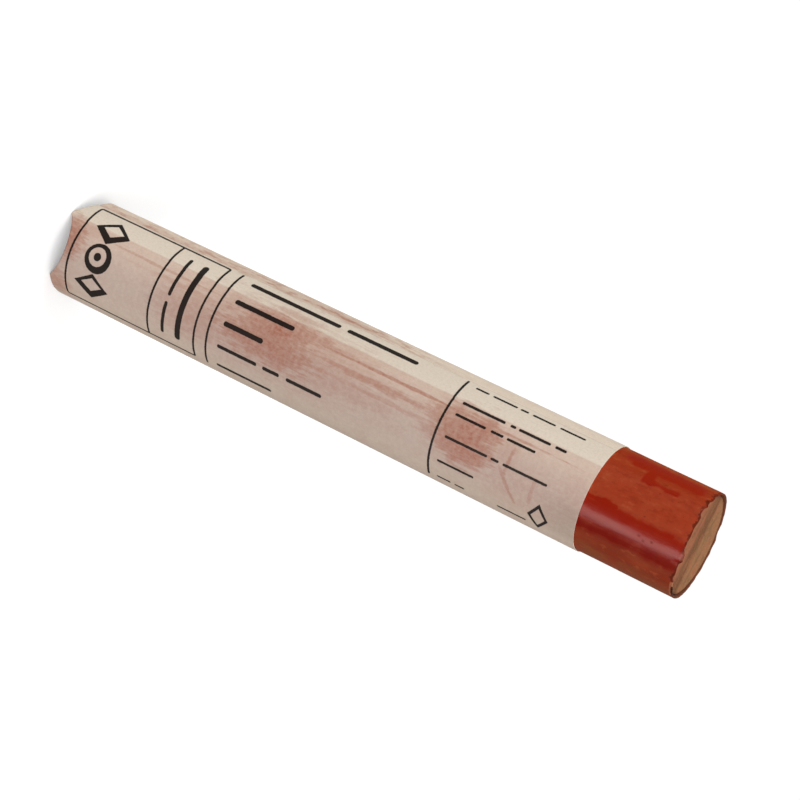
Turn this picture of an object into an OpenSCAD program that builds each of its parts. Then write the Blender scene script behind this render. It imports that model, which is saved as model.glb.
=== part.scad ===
// Oil paint stick: a cast bar of paint in a paper wrapper, standing on the wrapper's
// tucked tail with its writing end up. Millimetres, +Z towards the writing end, origin in
// the middle of the foot.
// A turn is an angle round the stick in degrees. It starts at the front (-Y) and grows
// clockwise as seen from the writing end.

/* [Bar of paint] */
// Diameter of the cast bar
bar_d = 19.3; // [14:0.1:38]
// Length of the bar, to the low side of its rim
bar_l = 129.6; // [90:0.1:220]
// Radius of the soft edge round the rear end
rear_edge_r = 0.6; // [0.2:0.05:1.5]

/* [Writing end] */
// Length of bare paint ahead of the wrapper, to the low side of the rim
bare_l = 18.2; // [8:0.1:40]
// Wall of the thin rim that stands round the writing end
rim_w = 0.35; // [0.25:0.05:0.8]
// Depth of the dish inside the rim
dish_depth = 0.6; // [0.3:0.05:1.5]
// How much higher the rim stands on its high side
rim_rise = 0.5; // [0:0.05:1.5]
// Turn of the rim's high side
rim_turn = -10; // [-180:1:180]
// Height of the torn lip above the rim
lip_h = 0.55; // [0.1:0.05:1.5]
// Length of the torn lip round the rim
lip_w = 2.6; // [1:0.1:6]
// Turn of the middle of the torn lip
lip_turn = -19; // [-180:1:180]

/* [Dried skin] */
// Thickness of the dried skin in the dish
skin_t = 0.45; // [0.2:0.05:0.55]
// Open crack between the skin and the rim
crack_w = 0.16; // [0.1:0.02:0.4]

/* [Paper wrapper] */
// Thickness of the paper
paper_t = 0.12; // [0.08:0.01:0.3]
// Play between the bar and the paper round it
wrap_gap = 0.05; // [0.02:0.01:0.3]
// Width of the glued lap, where the sheet covers its own first edge
lap_w = 5; // [2:0.1:10]
// Turn of the covered edge, where the lap begins
lap_turn = 28; // [-180:1:180]

/* [Tucked tail] */
// Turn of the first of the four flaps
flap_turn = -10; // [-45:1:45]
// Angle from one flap to the next; the rest of the round is one wide pleat
flap_step = 79; // [74:0.5:84]
// How much tighter each flap curls than the tube
flap_tighten = 1.5; // [0.8:0.1:2.2]
// Height pressed flat on the corners that the stick stands on
corner_flat = 0.18; // [0.1:0.02:0.4]
// How far the last two flaps pass the middle
flap_reach = 2.6; // [1:0.1:4]
// Width of a flap at its free end
flap_end_w = 3.4; // [1.5:0.1:6]
// Play between the rear end of the bar and the flaps
seat_gap = 0.05; // [0.02:0.01:0.3]

/* [Hidden] */
$fn = 96;

paint_red = "#a23c22";
paper_cream = "#d8c8b8";
skin_tan = "#9c7152";

// Radii, from the bar out to the lap
bar_r = bar_d / 2;
dish_r = bar_r - rim_w;
bore_r = bar_r + wrap_gap;
wrap_r = bore_r + paper_t;
lap_r = wrap_r + paper_t;

// The four flaps and the pleat. A flap folded in from a tube curls as part of a
// cylinder that lies across the tube, and its crease drops from the flap's middle to
// the corner that it shares with the next flap. Each flap lies a little further out
// than the one before it.
flap_turns = [for (i = [0:3]) flap_turn + i * flap_step];
flap_levels = [for (i = [0:3]) -i * paper_t / 2];
late_flaps = [1, 3];
flap_spread = 2 * paper_t;
pleat_side = 180 - 1.5 * flap_step;
curl_r = wrap_r - flap_tighten;
corner_half_w = wrap_r * sin(flap_step / 2);
corner_drop = curl_r - sqrt(curl_r * curl_r - corner_half_w * corner_half_w);
tuck_h = corner_drop - corner_flat;
pack_t = 3 * paper_t;
pleat_t = 2 * paper_t;

// Heights along the stick
seat_z = tuck_h + pack_t + seat_gap;
bar_top = seat_z + bar_l;
wrap_l = bar_top - bare_l;
dish_z = bar_top - dish_depth;
rim_top = bar_top + rim_rise + lip_h;

// Chips in the rim, each as its turn, its width and its depth
rim_chips = [[34, 1.6, 0.4], [62, 0.9, 0.3], [-44, 1.1, 0.3], [158, 1.2, 0.3]];
over = 1;

// Turns what is drawn at the front of the stick to another place round it
module at_turn(turn) {
    rotate([0, 0, -turn]) children();
}

// A flat wedge from the axis, between two turns, longer than the stick is wide
module wedge(from, to) {
    middle = (from + to) / 2;
    far = 2 * bar_d;
    polygon([[0, 0], for (t = [from, middle, to]) [-far * sin(t), -far * cos(t)]]);
}

// Height of the rim at a turn, without the lip
function rim_z(turn) = bar_top + rim_rise * (1 + cos(turn - rim_turn)) / 2;

// Everything below the slanting top of the rim
module below_rim_top() {
    slope = atan(rim_rise / bar_d);
    depth = bar_l / 4;
    at_turn(rim_turn)
        translate([0, bar_r, bar_top])
            rotate([-slope, 0, 0])
                translate([-bar_d, -2 * bar_d, -depth])
                    cube([2 * bar_d, 3 * bar_d, depth]);
}

// The thin wall that stands round the dish, before its top is shaped
module rim_wall() {
    translate([0, 0, dish_z - over])
        linear_extrude(height = rim_top - dish_z + 2 * over)
            difference() {
                circle(r = bar_r);
                circle(r = dish_r);
            }
}

// One chip broken out of the rim, drawn at the front
module rim_chip(width, depth, edge_z) {
    translate([0, -dish_r + rim_w, edge_z])
        rotate([90, 0, 0])
            linear_extrude(height = 3 * rim_w)
                polygon([[-width, over], [width, over], [width / 2, 0], [0, -depth], [-width / 2, 0]]);
}

// The lip of paint pulled up beside the crack, steep on one side, drawn at the front
module torn_lip() {
    translate([0, -dish_r + rim_w, rim_z(lip_turn)])
        rotate([90, 0, 0])
            linear_extrude(height = 3 * rim_w)
                polygon([[-lip_w / 2, -lip_h], [lip_w / 2, -lip_h], [lip_w / 2, 0],
                         [lip_w / 4, lip_h * 0.7], [0, lip_h], [-lip_w / 4, lip_h * 0.9],
                         [-lip_w / 2, 0]]);
}

// The bar's side and its round-edged rear end, in half section
module bar_section() {
    square([bar_r - rear_edge_r, bar_l - dish_depth]);
    translate([0, rear_edge_r]) square([bar_r, bar_l - dish_depth - rear_edge_r]);
    translate([bar_r - rear_edge_r, rear_edge_r]) circle(r = rear_edge_r);
}

// Cast bar of paint, with the rim and its torn lip at the writing end
module paint_stick() {
    color(paint_red)
        union() {
            translate([0, 0, seat_z]) rotate_extrude() bar_section();
            difference() {
                intersection() {
                    rim_wall();
                    below_rim_top();
                }
                for (chip = rim_chips)
                    at_turn(chip[0]) rim_chip(chip[1], chip[2], rim_z(chip[0]));
            }
            intersection() {
                rim_wall();
                at_turn(lip_turn) torn_lip();
            }
        }
}

// Tan crust that lies in the dish, a little to one side, with an open crack round it
module dried_skin() {
    shift = crack_w / 2;
    color(skin_tan)
        at_turn(lip_turn)
            translate([0, shift, dish_z])
                cylinder(h = skin_t, r = dish_r - crack_w);
}

// Outline of the wound sheet from the end: one layer all round, two along the lap
module wound_outline() {
    lap_angle = lap_w / lap_r * 180 / PI;
    circle(r = wrap_r);
    intersection() {
        circle(r = lap_r);
        wedge(lap_turn, lap_turn + lap_angle);
    }
}

// Round form that a flap curls over, lying across the tube from back to front at the
// front flap's place
module curl(radius, raised) {
    reach = lap_r + over;
    translate([0, reach, tuck_h + raised - curl_r])
        rotate([90, 0, 0])
            cylinder(h = 2 * reach, r = radius);
}

// Slab of the tail, as high as the seat of the bar
module tail_slab() {
    linear_extrude(height = seat_z) children();
}

// One quarter of the tail: the foot of the wall and a flap that is curled in, between
// the groins that it shares with its neighbours
module early_flap(number) {
    turn = flap_turns[number];
    level = flap_levels[number];
    side_1 = number == 0 ? pleat_side : flap_step / 2;
    side_2 = number == 3 ? pleat_side : flap_step / 2;
    difference() {
        tail_slab()
            intersection() {
                wound_outline();
                wedge(turn - side_1, turn + side_2);
            }
        at_turn(turn) curl(curl_r, level);
        difference() {
            translate([0, 0, pleat_t]) cylinder(h = seat_z, r = bore_r);
            at_turn(turn) curl(curl_r + pack_t, level);
        }
    }
}

// Outline of one late flap: its sides follow the groins, and its end passes the middle
module flap_outline() {
    crease_x = corner_half_w + flap_spread;
    chord_y = wrap_r * cos(flap_step / 2);
    end_x = flap_end_w / 2;
    neck_y = end_x / tan(flap_step / 2);
    polygon([[-crease_x, -lap_r - over], [crease_x, -lap_r - over], [crease_x, -chord_y],
             [end_x + flap_spread, -neck_y], [end_x, flap_reach], [-end_x, flap_reach],
             [-end_x - flap_spread, -neck_y], [-crease_x, -chord_y]]);
}

// The end of a flap that was tucked in late, one sheet further out than its own quarter,
// so that it covers the middle and the ends of the early flaps
module late_flap(number) {
    turn = flap_turns[number];
    level = flap_levels[number];
    difference() {
        intersection() {
            tail_slab() wound_outline();
            at_turn(turn) tail_slab() flap_outline();
            at_turn(turn) curl(curl_r + pack_t / 2, level);
        }
        at_turn(turn) curl(curl_r, level - paper_t);
    }
}

// One sheet wound round the bar, lapped along its length and tucked in at the tail
module paper_wrapper() {
    color(paper_cream)
        union() {
            translate([0, 0, seat_z])
                linear_extrude(height = wrap_l - seat_z)
                    difference() {
                        wound_outline();
                        circle(r = bore_r);
                    }
            for (number = [0:3]) early_flap(number);
            for (number = late_flaps) late_flap(number);
        }
}

paint_stick();
paper_wrapper();
dried_skin();
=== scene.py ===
# %% [markdown]
# # Oil paint stick
# A cast bar of oil paint in a printed paper wrapper. It stands on the wrapper's tucked
# tail with its bare writing end up. The camera looks down on it from in front.
#
# The first cell loads the exact model as a fixed frame. Its three pieces give the sizes
# that everything below is built to. Each piece then gets a finer mesh that stands for it.

# %% Load the frame
import math

import bmesh
import bpy
from mathutils import Matrix, Vector, noise


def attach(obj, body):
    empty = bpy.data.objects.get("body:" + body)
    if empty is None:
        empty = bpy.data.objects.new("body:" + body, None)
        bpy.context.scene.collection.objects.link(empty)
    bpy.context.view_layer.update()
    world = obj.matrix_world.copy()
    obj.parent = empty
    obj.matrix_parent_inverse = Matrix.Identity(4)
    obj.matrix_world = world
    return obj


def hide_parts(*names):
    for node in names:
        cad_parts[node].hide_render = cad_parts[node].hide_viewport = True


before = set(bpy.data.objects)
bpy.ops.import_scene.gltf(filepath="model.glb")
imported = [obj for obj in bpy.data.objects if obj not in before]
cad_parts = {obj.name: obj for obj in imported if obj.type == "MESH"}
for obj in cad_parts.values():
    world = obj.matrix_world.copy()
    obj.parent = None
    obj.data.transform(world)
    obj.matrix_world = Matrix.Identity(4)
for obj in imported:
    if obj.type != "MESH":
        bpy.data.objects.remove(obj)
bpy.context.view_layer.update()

# %% [markdown]
# ## Sizes
# These are the driving sizes of the model in millimetres, with the angles in degrees.
# A turn is an angle round the stick: 0 faces the camera, and it grows clockwise as seen
# from the writing end. Blender works in metres, but such a small thing is easier to think
# of in millimetres, so every mesh is made in them and shrunk when it is finished.

# %% Sizes
MM = 0.001
BAR_R = 9.65
DISH_R = 9.3
WRAP_R = 9.818
PAPER = 0.12
SHEET_ANGLE = 389.2
SEAT_Z = 3.054
WRAP_TOP = 114.45
BAR_TOP = 132.654
DISH_Z = 132.054
SKIN_TOP = 132.504
LAP_TURN = 28.0
FREE_EDGE_TURN = 57.2
FLAP_HEADINGS = (-10.0, 69.0, 148.0, 227.0)
FLAP_LEVELS = (0.0, -0.18, -0.12, -0.3)
LATE_FLAPS = (1, 3)
FLAP_SIDE = 39.5
PLEAT_SIDE = 61.5
CURL_R = 8.32
TUCK_H = 2.644

# Flat coordinates run round the stick at this radius, and UV maps hold them in hundreds.
FLAT_R = 9.82
ROUND_LENGTH = 61.7
UV_SCALE = 100

# Points closer together than this are merged, and nearer the axis they have no turn.
MERGE = 0.0005
ON_AXIS = 0.01
print("sheet", round(math.radians(SHEET_ANGLE) * FLAT_R, 1), "mm round by", WRAP_TOP, "mm high")

# %% [markdown]
# ## Small helpers for shapes
# Everything on this stick is round, so a point is given by its turn, its distance from
# the axis and its height, and `place` makes it a vector. `ease` blends without a corner,
# and `ripple` is the noise that makes paper and paint uneven in the same way each run.


# %% Shape helpers
def place(turn, radius, z):
    """A point at a turn round the stick, in millimetres."""
    angle = math.radians(turn)
    return Vector((-radius * math.sin(angle), -radius * math.cos(angle), z))


def turn_of(point):
    """The turn of a point, from -180 to 180."""
    return math.degrees(math.atan2(-point.x, -point.y))


def ease(value, low, high):
    """0 below low, 1 above high, and a smooth step between them."""
    t = min(max((value - low) / (high - low), 0.0), 1.0)
    return t * t * (3 - 2 * t)


def ripple(x, y, z=0.0):
    """Smooth noise between about -1 and 1."""
    return noise.noise(Vector((x, y, z)))


def half_ripple(x, y, z=0.0):
    """The same noise between about 0 and 1."""
    return 0.5 + 0.5 * ripple(x, y, z)


def flat_uv(turn, up):
    """The UV place of a turn and a height on the flat sheet or the bar's side."""
    return (math.radians(turn) * FLAT_R / UV_SCALE, up / UV_SCALE)


print("turn 90 lies at", [round(value, 2) for value in place(90, BAR_R, 0)])

# %% [markdown]
# ## From a profile to a finished piece
# The bar and its crust are both turned forms, so one helper spins either. Another takes a
# finished bmesh, shrinks it to metres, and makes it an object at the origin. It also hides
# the node of the model that the piece stands for.


# %% Spin and finish
def spin_profile(bm, profile, steps):
    """Spins half a profile, given as radius and height, once round the stick."""
    line = [bm.verts.new((0, -r, z)) for r, z in profile]
    edges = [bm.edges.new(pair) for pair in zip(line, line[1:])]
    bmesh.ops.spin(bm, geom=line + edges, cent=(0, 0, 0), axis=(0, 0, 1),
                   angle=math.tau, steps=steps, use_merge=True)
    bmesh.ops.remove_doubles(bm, verts=bm.verts, dist=MERGE)


def finish_mesh(bm, name, node):
    """Turns a bmesh in millimetres into a piece that stands for one node of the model."""
    bmesh.ops.transform(bm, matrix=Matrix.Scale(MM, 4), verts=bm.verts)
    mesh = bpy.data.meshes.new(name)
    for face in bm.faces:
        face.smooth = True
    bm.to_mesh(mesh)
    bm.free()
    piece = bpy.data.objects.new(name, mesh)
    bpy.context.scene.collection.objects.link(piece)
    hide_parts(node)
    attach(piece, "root")
    print(name, len(mesh.vertices), "vertices", len(mesh.polygons), "faces")
    return piece


# %% [markdown]
# ## The paper sheet: where each column lies
# The real wrapper is one flat sheet of thin paper, rolled round the bar and tucked in at
# the tail. A plain tube would show neither its lap nor its folds. So it is made as the
# paper is: a flat grid whose vertices are then moved. Columns run along the stick and
# rows run round it. A column's turn counts from the free edge of the sheet at 57 back to
# the inner edge at -332, so the sheet goes once round the bar and laps over its own
# start. Extra columns stand where a crease, a corner or the side of a tongue needs
# a clean line.

# %% Columns and rows of the sheet
FIRST_TURN = FREE_EDGE_TURN - SHEET_ANGLE
LAP_STEP_START = 25.4
LAP_STEP_TURNS = (25.5, 26.2, 26.9, 27.5, LAP_TURN)
# Angles from a flap's heading: its middle, its tongue's side and foot, its slope's end,
# a last line before the crease, and the crease.
CREASE_OFFSETS = (0.0, 9.9, 11.4, 36.2, 38.3, FLAP_SIDE)
COLUMN_STEP = 2.0
COLUMN_GAP = 0.6

exact_turns = [FIRST_TURN, FREE_EDGE_TURN, *LAP_STEP_TURNS]
for heading in FLAP_HEADINGS:
    for offset in CREASE_OFFSETS:
        for turn in (heading - offset, heading + offset):
            for whole in (0, -360):
                if FIRST_TURN < turn + whole < FREE_EDGE_TURN:
                    exact_turns.append(turn + whole)
exact_turns.append(FLAP_HEADINGS[0] - PLEAT_SIDE)

columns = sorted(set(exact_turns))
turn = FIRST_TURN + COLUMN_STEP
while turn < FREE_EDGE_TURN:
    if min(abs(turn - c) for c in columns) > COLUMN_GAP:
        columns.append(turn)
    turn += COLUMN_STEP
columns.sort()

TUCK_ROWS = 9
FOLD_ANGLES = (90, 65, 40, 18)
FOLD_R = 0.28
LOW_TOP = 12.0
HIGH_STEP = 1.9
low_rows = [k / 16 for k in range(17)]
high_rows = [LOW_TOP + HIGH_STEP * k for k in range(1, 54)]
high_rows += [113.4, 114.1, 114.35, WRAP_TOP]
ROWS = TUCK_ROWS + len(FOLD_ANGLES) + len(low_rows) + len(high_rows)
print(len(columns), "columns", ROWS, "rows")

# %% [markdown]
# ## The tucked tail
# The paper's tail end is pushed in as four flaps, one after the other. A cloth simulation
# could fold it too, but a few rules give clean corners and the same ones each time. A flap
# folded in from a tube curls as part of a cylinder lying across the tube, so its height
# depends only on how far it is from the flap's middle. Early flaps end at the creases
# that they share with their neighbours. Late flaps pass them and end in a tongue that
# covers the middle.

# %% Flaps
# The free edge of a late flap: a tongue past the middle, then a slope out to the crease.
TONGUE_HALF = 1.72
TONGUE_REACH = 2.6
SLOPE_FOOT = 1.94
SLOPE_START = 2.06
SLOPE = 1.21
SLOPE_END = 5.8


def flap_of(turn):
    """The flap that a column belongs to, and the column's angle from its heading."""
    best = None
    for number, heading in enumerate(FLAP_HEADINGS):
        delta = (turn - heading + 180) % 360 - 180
        low = PLEAT_SIDE if number == 0 else FLAP_SIDE
        high = PLEAT_SIDE if number == 3 else FLAP_SIDE
        miss = max(-low - delta, delta - high)
        if best is None or miss < best[0] - 1e-6:
            best = (miss, number, delta)
    return best[1], best[2]


def flap_height(number, across, layer):
    """Height of the outside of a flap at a distance from its middle."""
    inside = CURL_R ** 2 - across ** 2
    if inside <= 0:
        return 0.0
    return max(0.0, TUCK_H + FLAP_LEVELS[number] - PAPER * layer - CURL_R + math.sqrt(inside))


def flap_end(number, across):
    """Where a flap's free edge lies along its heading, at a distance from its middle."""
    beside_pleat = (number == 0 and across < 0) or (number == 3 and across > 0)
    groin = abs(across) / math.tan(math.radians(PLEAT_SIDE if beside_pleat else FLAP_SIDE))
    if number not in LATE_FLAPS:
        return groin
    if abs(across) < TONGUE_HALF:
        return -TONGUE_REACH + 0.12 * ripple(across * 2.0, number * 3.1)
    if beside_pleat or abs(across) > SLOPE_END:
        return groin
    return min(groin, SLOPE_START + (abs(across) - SLOPE_FOOT) * SLOPE)


print("fold heights", [round(flap_height(number, 0, 0), 2) for number in range(4)])

# %% [markdown]
# ## Winding and tucking
# `sheet_point` says where a point of the flat sheet ends up. Above the fold it lies on
# the tube, one sheet further out past turn 28, where the sheet covers its own start.
# Tucking also leaves shallow dents in the tube near the tail. Below the fold the paper
# turns round a small radius and runs straight in along its flap's heading.

# %% Where the sheet goes
LAP_GAP = 0.004


def layer_of(turn):
    """How many sheets further out the sheet lies: 0 on the bar, 1 on the lap."""
    return ease(turn, LAP_STEP_START, LAP_TURN)


def crumple(turn, z):
    """Shallow dents that tucking the tail leaves in the tube, always inward."""
    near_tail = 1 - ease(z, 4.0, 17.0)
    folds = half_ripple(turn * 0.09, z * 0.22, 2.0)
    fine = half_ripple(turn * 0.25, z * 0.12, 7.0)
    slack = 0.012 * half_ripple(turn * 0.06, z * 0.05, 4.0)
    return 0.05 * near_tail * (0.7 * folds + 0.3 * fine) + slack


def sheet_point(turn, row):
    """A point of the sheet in millimetres, and how far along the sheet it lies."""
    layer = layer_of(turn)
    radius = WRAP_R + (PAPER + LAP_GAP) * layer
    number, delta = flap_of(turn)
    across = radius * math.sin(math.radians(delta))
    wall_x = radius * math.cos(math.radians(delta))
    fold_z = flap_height(number, across, layer)
    first_fold_row = TUCK_ROWS
    first_wall_row = TUCK_ROWS + len(FOLD_ANGLES)
    if row >= first_wall_row:
        k = row - first_wall_row
        if k < len(low_rows):
            low = fold_z + FOLD_R
            z = low + (LOW_TOP - low) * low_rows[k]
        else:
            z = high_rows[k - len(low_rows)]
        if row == ROWS - 1:
            z -= 0.03 * half_ripple(turn * 0.4, 9.0)
        return place(turn, radius - crumple(turn, z), z), z
    end_x = flap_end(number, across)
    wall_x = max(wall_x - crumple(turn, fold_z), end_x)
    if row >= first_fold_row:
        angle = math.radians(FOLD_ANGLES[row - first_fold_row])
        inward = FOLD_R * (1 - math.cos(angle))
        up = FOLD_R * (1 - math.sin(angle))
        along = max(wall_x - inward, end_x)
        flat = fold_z + up
    else:
        start_x = max(wall_x - FOLD_R, end_x)
        t = row / TUCK_ROWS
        along = end_x + (start_x - end_x) * t
        up = 0.0
        flat = fold_z - (start_x - along)
    heading = math.radians(FLAP_HEADINGS[number])
    forward = Vector((-math.sin(heading), -math.cos(heading), 0))
    sideways = Vector((-math.cos(heading), math.sin(heading), 0))
    point = forward * along + sideways * across
    point.z = fold_z + up
    return point, flat


print("a corner of the tail", [round(value, 2) for value in sheet_point(29.5, TUCK_ROWS)[0]])

# %% [markdown]
# ## Making the sheet
# `create_grid` gives the flat sheet. Each vertex is looked up by its column and row and
# moved to its place. The sheet keeps its own flat coordinates as a UV map, in hundreds
# of millimetres: across is the distance round the bar from the front, up is the height
# before folding. The print is drawn on that map later, so it bends with the paper. The
# paper's thickness is left to a Solidify modifier, which grows it inwards.

# %% Wind the sheet
bm = bmesh.new()
flat_map = bm.loops.layers.uv.new("flat_sheet")
bmesh.ops.create_grid(bm, x_segments=len(columns) - 1, y_segments=ROWS - 1, size=0.5)

flat_place = {}
for vert in bm.verts:
    column = round((vert.co.x + 0.5) * (len(columns) - 1))
    row = round((vert.co.y + 0.5) * (ROWS - 1))
    turn = columns[column]
    vert.co, along_sheet = sheet_point(turn, row)
    flat_place[vert] = flat_uv(turn, along_sheet)

for face in bm.faces:
    for loop in face.loops:
        loop[flat_map].uv = flat_place[loop.vert]

bmesh.ops.remove_doubles(bm, verts=bm.verts, dist=MERGE)
bmesh.ops.dissolve_degenerate(bm, edges=bm.edges, dist=0.0008)
front_middle = place(0, WRAP_R, 60)
wall_face = min(bm.faces, key=lambda f: (f.calc_center_median() - front_middle).length)
if wall_face.normal.dot(Vector((0, -1, 0))) < 0:
    bmesh.ops.reverse_faces(bm, faces=bm.faces)
paper_sheet = finish_mesh(bm, "paper_sheet", "paper_wrapper")

thickness = paper_sheet.modifiers.new("Paper thickness", "SOLIDIFY")
thickness.thickness = PAPER * MM
thickness.offset = -1
thickness.material_offset = 1
thickness.material_offset_rim = 1

# %% [markdown]
# ## The bar of paint
# The bar is oil paint and wax, cast in a round mould. At its writing end a thin ragged rim
# stands round a shallow dish. The rim is higher on one side, a lip is torn up beside the
# highlight, and small chips are broken out. A noise modifier would fray it alike all
# round, so `rim_height` adds these up for each turn instead. The mesh and the rim's
# colours both use it.

# %% Height of the rim
RIM_RISE = 0.25
RIM_HIGH_TURN = -10
RIM_LIMIT = 1.03
LIP_TURN = -17.5
LIP_HALF = 8.0
LIP_HEIGHT = 0.46
LIP_TOP_TURN = -14
# Chips: the turn of the middle, the half width in degrees and the depth.
RIM_CHIPS = [
    (34, 7.5, 0.42),
    (47, 5.0, 0.3),
    (62, 4.0, 0.25),
    (-44, 5.0, 0.28),
    (158, 9.0, 0.16),
]


def rim_height(turn):
    """Height of the top of the rim at a turn."""
    z = BAR_TOP + RIM_RISE * (1 + math.cos(math.radians(turn - RIM_HIGH_TURN)))
    lip = 1 - abs(turn - LIP_TURN) / LIP_HALF
    if lip > 0:
        z += LIP_HEIGHT * min(1.0, lip * 2.2) * (1.0 if turn < LIP_TOP_TURN else 0.8)
    for middle, half_width, depth in RIM_CHIPS:
        reach = 1 - abs(turn - middle) / half_width
        if reach > 0:
            z -= depth * min(1.0, reach * 1.8) * (0.85 + 0.3 * ripple(turn * 0.25, 3.0))
    wander = turn * 0.2 + 1.6 * ripple(turn * 0.07, 2.0)
    z += 0.09 * ripple(turn * 0.11, 1.0) + 0.035 * ripple(wander, 5.0)
    return min(z, BAR_TOP + RIM_LIMIT)


print("rim rises", [round(rim_height(turn) - BAR_TOP, 2) for turn in range(-180, 180, 60)])

# %% [markdown]
# ## Spinning the bar
# The bar could be a cylinder with its end pushed in, but then its rings would be far
# apart where the rim needs them close. Half a profile spun round the stick has its rings
# wherever they are wanted: few behind, many at the writing end. After the spin, the points
# of the rim are pulled up and down to `rim_height`, and the bare side gets very shallow
# dents. The seam turn needs care in the UV maps, so each point's turn is brought near to
# that of the middle of its face.

# %% Spin the bar

profile = [(0.0, SEAT_Z), (9.05, SEAT_Z), (9.35, SEAT_Z + 0.08), (9.57, SEAT_Z + 0.28),
           (BAR_R, SEAT_Z + 0.6), (BAR_R, 30.0), (BAR_R, 60.0), (BAR_R, 90.0), (BAR_R, 111.0)]
profile += [(BAR_R, 112.5 + 0.5 * k) for k in range(40)]
profile += [(BAR_R, BAR_TOP - 0.12), (BAR_R - 0.03, BAR_TOP - 0.03), (BAR_R - 0.12, BAR_TOP),
            (DISH_R + 0.1, BAR_TOP - 0.03), (DISH_R + 0.01, BAR_TOP - 0.14), (DISH_R, BAR_TOP - 0.35),
            (DISH_R, DISH_Z), (7.0, DISH_Z), (0.0, DISH_Z)]

bm = bmesh.new()
bar_map = bm.loops.layers.uv.new("flat_sheet")
rim_map = bm.loops.layers.uv.new("rim")
spin_profile(bm, profile, 300)

for vert in bm.verts:
    radius = vert.co.xy.length
    if radius < ON_AXIS:
        continue
    turn = turn_of(vert.co)
    z = vert.co.z
    if radius > DISH_R - 0.01 and z > DISH_Z + 0.05:
        pull = ease(z, DISH_Z, BAR_TOP - 0.3)
        z += (rim_height(turn) - BAR_TOP) * pull
        ragged = ease(z, BAR_TOP - 0.3, BAR_TOP)
        radius -= 0.06 * ragged * half_ripple(turn * 0.23, z * 0.6, 8.0)
    elif z > 113 and radius > BAR_R - 0.1:
        radius -= 0.035 * half_ripple(turn * 0.05, z * 0.16, 3.0)
        radius -= 0.012 * half_ripple(turn * 0.3, z * 0.5, 6.0)
    vert.co = place(turn, radius, z)

bmesh.ops.recalc_face_normals(bm, faces=bm.faces)
for face in bm.faces:
    middle_turn = turn_of(face.calc_center_median())
    for loop in face.loops:
        if loop.vert.co.xy.length < ON_AXIS:
            turn = middle_turn
        else:
            turn = turn_of(loop.vert.co)
        if turn - middle_turn > 180:
            turn -= 360
        if turn - middle_turn < -180:
            turn += 360
        loop[bar_map].uv = flat_uv(turn, loop.vert.co.z)
        inward = BAR_R - loop.vert.co.xy.length
        below_rim = rim_height(turn) - loop.vert.co.z
        loop[rim_map].uv = (inward / UV_SCALE, below_rim / UV_SCALE)
cast_bar = finish_mesh(bm, "cast_bar", "paint_stick")

# %% [markdown]
# ## The dried skin
# Oil paint dries from the outside, so a tan crust closes the dish. It is a thin disc,
# spun as the bar was, from a profile with many rings on top, so that it can carry a real
# relief and not only a bump. Its edge is nibbled, an open crack runs along its edge on
# the low side, and faint ridges run across it as if it had been wiped.

# %% Spin the dried skin
TOP_RINGS = 29
CRACK_DEPTH = 0.36
NIBBLE_START = 8.2
skin_profile = [(0.0, DISH_Z), (8.9, DISH_Z), (9.08, DISH_Z + 0.08), (9.12, DISH_Z + 0.28),
                (9.02, SKIN_TOP - 0.04)]
skin_profile += [(8.9 - 0.3 * k, SKIN_TOP) for k in range(TOP_RINGS)]
skin_profile += [(0.0, SKIN_TOP)]


def skin_relief(point):
    """How far the top of the crust lies below its highest level."""
    ridges = half_ripple(point.x * 0.16, (point.y + 0.1 * point.x) * 1.5, 2.0)
    fine = half_ripple(point.x * 0.6, point.y * 3.2, 5.0)
    return 0.06 * ridges + 0.04 * fine


bm = bmesh.new()
spin_profile(bm, skin_profile, 180)

for vert in bm.verts:
    radius = vert.co.xy.length
    turn = turn_of(vert.co) if radius >= ON_AXIS else 0.0
    z = vert.co.z
    if radius > NIBBLE_START:
        nibble = 0.10 * half_ripple(turn * 0.2, 1.0) + 0.06 * half_ripple(turn * 0.7, 4.0)
        radius -= nibble * ease(radius, NIBBLE_START, 9.1)
    if z > SKIN_TOP - 0.02:
        z -= skin_relief(place(turn, radius, 0))
        along_crack = ease(turn, -86, -80) * (1 - ease(turn, -48, -42))
        off_crack = abs(radius - 0.155 * vert.co.y - 8.92 - 0.06 * ripple(turn * 0.3, 6.0))
        z -= CRACK_DEPTH * along_crack * (1 - ease(off_crack, 0.08, 0.32))
    vert.co = place(turn, radius, z)

bmesh.ops.recalc_face_normals(bm, faces=bm.faces)
dried_crust = finish_mesh(bm, "dried_crust", "dried_skin")

# %% [markdown]
# ## Small helpers for materials
# Every material below is drawn by nodes, without a picture, so it stays sharp from near
# and needs no file. These helpers add a node or two each and return the output. A value
# that is the same everywhere is typed into the socket, and only a value that changes over
# the surface gets a node.


# %% Node helpers
def new_material(name):
    """An empty material with a Principled shader, its node tree and the shader."""
    material = bpy.data.materials.new(name)
    material.use_nodes = True
    tree = material.node_tree
    tree.nodes.clear()
    output = tree.nodes.new("ShaderNodeOutputMaterial")
    shader = tree.nodes.new("ShaderNodeBsdfPrincipled")
    tree.links.new(shader.outputs["BSDF"], output.inputs["Surface"])
    return material, tree, shader


def put(tree, socket, value):
    """Links an output to a socket, or types a plain value into it."""
    if isinstance(value, bpy.types.NodeSocket):
        tree.links.new(value, socket)
    else:
        socket.default_value = value


def math_node(tree, operation, *values):
    node = tree.nodes.new("ShaderNodeMath")
    node.operation = operation
    for socket, value in zip(node.inputs, values):
        put(tree, socket, value)
    return node.outputs[0]


def vector_node(tree, operation, *values):
    node = tree.nodes.new("ShaderNodeVectorMath")
    node.operation = operation
    for socket, value in zip(node.inputs, values):
        put(tree, socket, value)
    return node.outputs["Value"] if operation == "LENGTH" else node.outputs["Vector"]


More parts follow.
